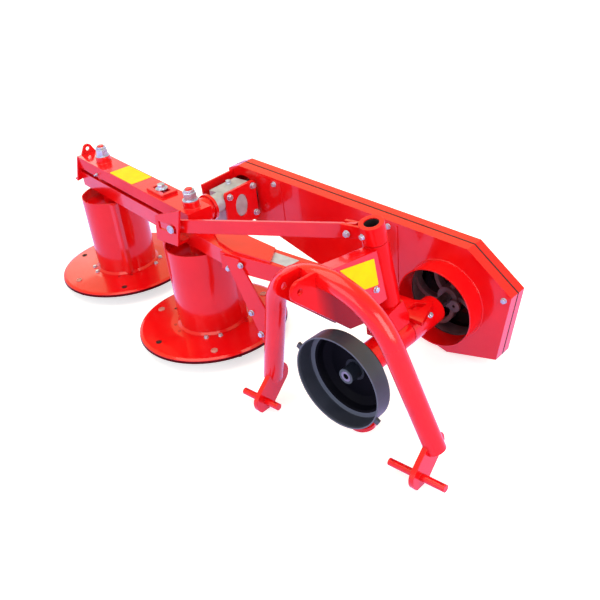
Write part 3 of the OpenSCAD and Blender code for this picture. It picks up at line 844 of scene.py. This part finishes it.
for index in (1, 2):
    axis = middle(f"spindle_nut_{index}")
    end = set_copies(f"spindle_end_{index}", spindle, [((axis.x, axis.y, 0), UP, 1.0)],
                     "mower", red_enamel)
    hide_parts(f"spindle_{index}")
    top_nut = set_copies(f"top_nut_{index}", nut, [((axis.x, axis.y, nut_foot), UP, 1.0)],
                         "mower", zinc_plate)
    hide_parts(f"spindle_nut_{index}")
    set_ring(f"nut_washer_{index}", NUT_WASHER_R, NUT_WASHER_BORE, NUT_WASHER_T,
             (axis.x, axis.y, boss_top), UP, "mower", zinc_plate)
    set_ring(f"lock_collar_{index}", COLLAR_R, COLLAR_BORE, COLLAR_H,
             (axis.x, axis.y, nut_top), UP, "mower", zinc_plate)
bpy.data.objects.remove(spindle)
bpy.data.objects.remove(nut)


# Power take-off sleeve: a dark sleeve slid over the stub inside the bell, and a seal at the bell's back.
# Both are plastic mouldings; the sleeve's end is painted paler, a painted highlight like the bell's mouth.
SLEEVE_R, SLEEVE_BORE, SLEEVE_L = 0.0238, 0.0168, 0.052
SLEEVE_OVERHANG = 0.0004
SEAL_R, SEAL_BORE, SEAL_T = 0.0335, 0.0245, 0.004
SEAL_IN = 0.0084
stub_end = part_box("drive_shaft")[0][1]
shaft = middle("drive_shaft")
sleeve_plastic, sleeve_skin = coated_material(
    "sleeve_plastic", BELL_BLACK, BELL_GREY,
    patches=14.0, grain=900.0, bright=0.4, dull=0.5, depth=0.00015, edge=0.001)
sleeve_skin.inputs["Specular IOR Level"].default_value = 0.12
sleeve_tree = sleeve_plastic.node_tree
# Painted highlight: the sleeve's end is painted paler.
sleeve_end = add_math(sleeve_tree, "LESS_THAN", add_place(sleeve_tree)["Y"], stub_end + LIP)
overlay_colour(sleeve_tree, sleeve_skin, sleeve_end, PAINTED_RIM_HIGHLIGHT)
set_ring("stub_sleeve", SLEEVE_R, SLEEVE_BORE, SLEEVE_L,
         (shaft.x, stub_end - SLEEVE_OVERHANG, shaft.z), BACK, "drive", sleeve_plastic)
set_ring("shaft_seal", SEAL_R, SEAL_BORE, SEAL_T,
         (shaft.x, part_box("pto_bell")[1][1] - SEAL_IN, shaft.z), FORWARD,
         "carrier", sleeve_plastic)


# Pulley washer: a thick plain steel washer, bolted on the face of the big pulley beside the shaft.
# It is dipped in the pulley's primer.
PULLEY_WASHER_R, PULLEY_WASHER_BORE, PULLEY_WASHER_T = 0.0215, 0.0050, 0.008
FROM_HUB_X, FROM_HUB_Z = 0.0284, -0.0197
hub = middle("big_pulley")
set_ring("pulley_washer", PULLEY_WASHER_R, PULLEY_WASHER_BORE, PULLEY_WASHER_T,
         (hub.x + FROM_HUB_X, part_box("big_pulley")[0][1], hub.z + FROM_HUB_Z), FORWARD,
         "drive", pulley_iron)


# Guard seal: a black rubber strip pressed into the groove where the guard's two halves meet.
# It runs all the way round and stands a hair proud of the sheet.
RUBBER_DEPTH, RUBBER_T = 0.0050, 0.001
RUBBER_PROUD = 0.0004
RUBBER_LAP = 0.0003
SHARP_TURN = 0.05
groove_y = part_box("guard_rear")[0][1] - RUBBER_LAP
rim_points = [Vector((vertex.co.x, vertex.co.z)) for vertex in nodes["guard_rear"].data.vertices]
rim = [rim_points[index] for index in convex_hull_2d(rim_points)]
rim = [point for index, point in enumerate(rim) if (point - rim[index - 1]).length > RUBBER_DEPTH]
corners = []
for index, point in enumerate(rim):
    before = (point - rim[index - 1]).normalized()
    after = (rim[(index + 1) % len(rim)] - point).normalized()
    if abs(before.cross(after)) > SHARP_TURN:
        out_before = Vector((before.y, -before.x))
        out_after = Vector((after.y, -after.x))
        mitre = (out_before + out_after) / (1 + out_before.dot(out_after))
        corners.append(point + mitre * RUBBER_PROUD)
bpy.ops.object.select_all(action="DESELECT")
bpy.ops.mesh.primitive_circle_add(vertices=len(corners))
seal = bpy.context.object
seal.name = "guard_seal"
for vertex, point in zip(seal.data.vertices, corners):
    vertex.co = (point.x, groove_y, point.y)
bpy.ops.object.mode_set(mode="EDIT")
bpy.ops.mesh.select_mode(type="EDGE")
bpy.ops.mesh.select_all(action="SELECT")
bpy.ops.mesh.extrude_region_move(TRANSFORM_OT_translate={"value": (0, RUBBER_DEPTH, 0)})
bpy.ops.mesh.select_all(action="SELECT")
bpy.ops.mesh.normals_make_consistent(inside=False)
bpy.ops.object.mode_set(mode="OBJECT")
strip = seal.modifiers.new("strip", "SOLIDIFY")
strip.thickness = RUBBER_T
bpy.ops.object.modifier_apply(modifier="strip")
seal.data.materials.append(hole_shadow)
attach(seal, "mower")


# Mast bore: a thin black skin lies against the bore inside the mast's tube.
# It is painted shade, that darkens the deep bore.
MAST_TILT = math.radians(10)
MAST_AXIS = Vector((0, -math.sin(MAST_TILT), math.cos(MAST_TILT)))
MAST_R = 0.036
LINING_R, LINING_BORE, LINING_L = 0.0219, 0.0209, 0.24
LINING_SET_BACK = 0.003
mast_middle = middle("mast_sleeve")
mast_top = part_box("mast_pin")[1][2] - MAST_R * math.sin(MAST_TILT)
mast_reach = (mast_top - mast_middle.z) / math.cos(MAST_TILT)
# A black sleeve set in the bore, as painted shade for its dark depth.
set_ring("mast_bore_shade", LINING_R, LINING_BORE, LINING_L,
         mast_middle + MAST_AXIS * (mast_reach - LINING_SET_BACK - LINING_L), MAST_AXIS,
         "carrier", hole_shadow)


# Belt tensioner: a slotted plate on the channel, with a large bolt on two washers that slides in the slot.
# The plate is painted with the channel; the bolt and washers are zinc plated.
sweep = math.radians(-9.6)
along = Vector((math.cos(sweep), math.sin(sweep), 0))
across = Vector((-math.sin(sweep), math.cos(sweep), 0))
TENSIONER_L, TENSIONER_W, TENSIONER_T = 0.112, 0.064, 0.010
TENSIONER_CORNER = 0.006
TENSIONER_SUNK = 0.0005
SLOT_L, SLOT_W = 0.078, 0.030
SLIDE_R, SLIDE_BORE, SLIDE_T = 0.0215, 0.0060, 0.004
SLIDE_BOLT_SCALE = 1.55
stand = middle("tensioner")
stand.z = channel_high - TENSIONER_SUNK
slide = stand + Vector((0, 0, TENSIONER_T))
slotted = model_sheet("tensioner_plate",
                      [stand + along * x * TENSIONER_L / 2 + across * y * TENSIONER_W / 2
                       for x, y in ((-1, -1), (1, -1), (1, 1), (-1, 1))],
                      TENSIONER_CORNER, TENSIONER_T, "mower", red_enamel)
bpy.ops.object.select_all(action="DESELECT")
bpy.ops.mesh.primitive_cube_add(size=1)
slot_cutter = bpy.context.object
slot_cutter.scale = (SLOT_L, SLOT_W, TENSIONER_T * 10)
bpy.ops.object.transform_apply()
slot_cutter.data.transform(Matrix.Translation(stand) @ Matrix.Rotation(sweep, 4, "Z"))
cut_hole(slotted, slot_cutter)
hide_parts("tensioner")
set_ring("tensioner_washer", SLIDE_R, SLIDE_BORE, SLIDE_T, slide, UP, "mower", zinc_plate)
set_copies("tensioner_bolt", bolt, [(slide + Vector((0, 0, SLIDE_T)), UP, SLIDE_BOLT_SCALE)],
           "mower", zinc_plate)
bpy.data.objects.remove(bolt)


# Pin cross holes: each lower hitch pin is a steel bar, welded through the ear of its leg.
# It is drilled near both ends for a spring clip, and painted with the leg; each hole is a black mouth ring,
# painted shade for its dark inside.
PIN_INSET = 0.013
PIN_HEIGHT = 0.0429
PIN_HOLE_SCALE = 0.75
EAR_R = 0.0379
PIN_LENGTHS = {"left": 0.1465, "right": 0.1825}
for side, length in PIN_LENGTHS.items():
    leg_low, leg_high = (Vector(corner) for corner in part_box(f"leg_{side}"))
    outer = leg_low.x if side == "left" else leg_high.x - length
    set_copies(f"pin_holes_{side}", hole,
               [((x, leg_low.y + EAR_R, PIN_HEIGHT), UP, PIN_HOLE_SCALE)
                for x in (outer + PIN_INSET, outer + length - PIN_INSET)],
               "hitch", hole_shadow)
bpy.data.objects.remove(hole)


# Weld beads: rings of weld where round parts stand on flat plate, painted over with the rest.
# Each bead is a rope of small overlapping ripples.
BEAD_R = 0.0030
RIPPLE = BEAD_R * 0.3
BOSS_BEAD_OUT, COLLAR_BEAD_OUT = 0.0015, 0.001


def model_bead(name, centre, normal, ring_r, body):
    """A ring of weld of that radius round a centre, lying on the plate below it."""
    bpy.ops.object.select_all(action="DESELECT")
    bpy.ops.mesh.primitive_torus_add(major_segments=120, minor_segments=8,
                                     major_radius=ring_r, minor_radius=BEAD_R)
    bead = bpy.context.object
    bead.name = name
    bpy.ops.object.mode_set(mode="EDIT")
    bpy.ops.mesh.select_all(action="SELECT")
    bpy.ops.transform.vertex_random(offset=RIPPLE, seed=3)
    bpy.ops.mesh.vertices_smooth(factor=0.4, repeat=1)
    bpy.ops.object.mode_set(mode="OBJECT")
    bpy.ops.object.shade_smooth()
    bead.data.transform(Matrix.Translation(centre) @ seat(normal))
    bead.data.materials.append(red_enamel)
    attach(bead, body)


for index in (1, 2):
    axis = middle(f"spindle_{index}")
    model_bead(f"spindle_bead_{index}", (axis.x, axis.y, channel_high), UP, BOSS_R + BOSS_BEAD_OUT, "mower")
collar = middle("guard_collar")
collar_r = (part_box("guard_collar")[1][0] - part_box("guard_collar")[0][0]) / 2
model_bead("collar_bead", (collar.x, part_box("guard_front")[0][1], collar.z), FORWARD,
           collar_r + COLLAR_BEAD_OUT, "mower")


# Blank labels: a yellow film on the channel, another on the gusset, and a bare nameplate on the arm.
# Each is a thin sheet with rounded corners that lies flat on the paint.
LABEL_T = 0.0006
LABEL_CORNER, NAMEPLATE_CORNER = 0.004, 0.002
LABEL_FROM, LABEL_TO, LABEL_HALF = 0.127, 0.299, 0.041
FILM_CLEAR = 0.0001
GUSSET_FACE = 0.0101
YELLOW = (0.90, 0.66, 0.002)
DEEP_YELLOW = (0.84, 0.58, 0.001)
yellow_film, film = coated_material(
    "yellow_film", YELLOW, DEEP_YELLOW,
    patches=30.0, grain=500.0, bright=0.4, dull=0.5, depth=0.00004, edge=0.0004)
film.inputs["Specular IOR Level"].default_value = 0.1
channel_top = Vector((middle("drum_1").x, middle("drum_1").y, channel_high + FILM_CLEAR))
model_sheet("channel_label",
            [channel_top + along * x + across * y
             for x, y in ((LABEL_FROM, -LABEL_HALF), (LABEL_TO, -LABEL_HALF),
                          (LABEL_TO, LABEL_HALF), (LABEL_FROM, LABEL_HALF))],
            LABEL_CORNER, LABEL_T, "mower", yellow_film)
model_sheet("gusset_label",
            [off("gusset", GUSSET_FACE, y, z)
             for y, z in ((0.1166, 0.0773), (0.1758, 0.0631), (0.1648, 0.1501), (0.0242, 0.1806))],
            LABEL_CORNER, LABEL_T, "hitch", yellow_film)
PLATE_SILVER = (0.60, 0.63, 0.74)
PLATE_GREY = (0.48, 0.51, 0.62)
plate_silver, anodised = coated_material(
    "plate_silver", PLATE_SILVER, PLATE_GREY,
    patches=50.0, grain=900.0, bright=0.3, dull=0.42, depth=0.00003, edge=0.0004)
anodised.inputs["Metallic"].default_value = 0.35
ARM_DEPTH = 0.0601
model_sheet("arm_nameplate",
            [off("arm", x, y, ARM_DEPTH)
             for x, y in ((0.2722, 0.0368), (0.3582, 0.0368), (0.3642, 0.0848), (0.2642, 0.0848))],
            NAMEPLATE_CORNER, LABEL_T, "mower", plate_silver)


# Studio: a pale seamless floor, a white surround and large soft lights from above, the front and the right.
# The floor shows near white to the camera, and cool where the gloss paint mirrors it.
FLOOR_SIZE = 60
FLOOR_GREY = (0.80, 0.80, 0.80)
FLOOR_GLOW = 0.62
MIRRORED_FLOOR = (0.95, 0.80, 1.50)
bpy.ops.object.select_all(action="DESELECT")
bpy.ops.mesh.primitive_plane_add(size=FLOOR_SIZE)
floor = bpy.context.object
floor.name = "studio_floor"
pale_floor = bpy.data.materials.new("pale_floor")
pale_floor.use_nodes = True
floor_tree = pale_floor.node_tree
floor_shader = floor_tree.nodes["Principled BSDF"]
floor_shader.inputs["Base Color"].default_value = (*FLOOR_GREY, 1)
floor_shader.inputs["Roughness"].default_value = 0.8
floor_shader.inputs["Emission Color"].default_value = (1, 1, 1, 1)
mirrored = floor_tree.nodes.new("ShaderNodeEmission")
mirrored.inputs["Color"].default_value = (*MIRRORED_FLOOR, 1)
seen_by = floor_tree.nodes.new("ShaderNodeLightPath")
glow = add_math(floor_tree, "MULTIPLY", seen_by.outputs["Is Camera Ray"], FLOOR_GLOW)
floor_tree.links.new(glow, floor_shader.inputs["Emission Strength"])
choice = floor_tree.nodes.new("ShaderNodeMixShader")
floor_tree.links.new(seen_by.outputs["Is Glossy Ray"], choice.inputs["Fac"])
floor_tree.links.new(floor_shader.outputs["BSDF"], choice.inputs[1])
floor_tree.links.new(mirrored.outputs["Emission"], choice.inputs[2])
floor_tree.links.new(choice.outputs["Shader"], floor_tree.nodes["Material Output"].inputs["Surface"])
floor.data.materials.append(pale_floor)

COOL_FRONT = (0.66, 0.78, 1.12)
WARM_BACK = (1.12, 0.98, 0.52)
WHITE_WALL = (1.3, 1.3, 1.3)
WALL_TOP, SKY_FROM = 0.34, 0.42
TO_THE_BACK = (-0.5, 0.6, 0.62)
SURROUND_STRENGTH = 0.80
world = bpy.data.worlds.new("white_surround")
bpy.context.scene.world = world
world.use_nodes = True
surround = world.node_tree
direction = surround.nodes.new("ShaderNodeTexCoord")
facing = surround.nodes.new("ShaderNodeVectorMath")
facing.operation = "DOT_PRODUCT"
facing.inputs[1].default_value = TO_THE_BACK
surround.links.new(direction.outputs["Generated"], facing.inputs[0])
warmth = add_range(surround, facing.outputs["Value"], -0.5, 0.7, 0.0, 1.0)
heights = surround.nodes.new("ShaderNodeSeparateXYZ")
surround.links.new(direction.outputs["Generated"], heights.inputs["Vector"])
skyline = add_range(surround, heights.outputs["Z"], WALL_TOP, SKY_FROM, 1.0, 0.0)
sky = add_mix(surround, warmth, COOL_FRONT, WARM_BACK)
backdrop = surround.nodes["Background"]
surround.links.new(add_mix(surround, skyline, sky, WHITE_WALL), backdrop.inputs["Color"])
backdrop.inputs["Strength"].default_value = SURROUND_STRENGTH


def soft_light(name, place, aim, size, power, colour):
    """A square soft box that looks from its place to its aim."""
    light = bpy.data.lights.new(name, "AREA")
    light.size = size
    light.energy = power
    light.color = colour
    holder = bpy.data.objects.new(name, light)
    holder.matrix_world = Matrix.Translation(place) @ seat(Vector(place) - Vector(aim))
    bpy.context.collection.objects.link(holder)


soft_light("overhead_box", (-0.3, -0.3, 3.2), (0, 0, 0.2), size=2.6, power=50, colour=(1.0, 0.93, 0.82))
soft_light("front_box", (0.2, -3.6, 1.8), (0, 0, 0.25), size=2.2, power=30, colour=(0.85, 0.92, 1.0))
soft_light("back_spark", (-3.74, 1.51, 1.54), (-0.4, 0, 0.1), size=0.6, power=1.6, colour=(1.0, 0.9, 0.8))
soft_light("right_box", (3.6, -0.4, 1.6), (0.2, 0, 0.3), size=2.0, power=60, colour=(1.0, 0.95, 0.92))


# Camera: looks down on the parked mower from its front right, at eye height and a little turned on its axis.
# The lens is a normal one for a frame 36 mm wide.
LENS, FULL_FRAME = 51.47, 36
CAMERA_PLACE = (1.9786, -1.6221, 1.6298)
CAMERA_TURN = (59.09, 6.394, 42.297)
camera = bpy.data.cameras.new("photo_camera")
camera.lens = LENS
camera.sensor_width = FULL_FRAME
holder = bpy.data.objects.new("photo_camera", camera)
holder.location = CAMERA_PLACE
holder.rotation_euler = [math.radians(turn) for turn in CAMERA_TURN]
bpy.context.collection.objects.link(holder)
bpy.context.scene.camera = holder
bpy.context.scene.view_settings.view_transform = "Standard"
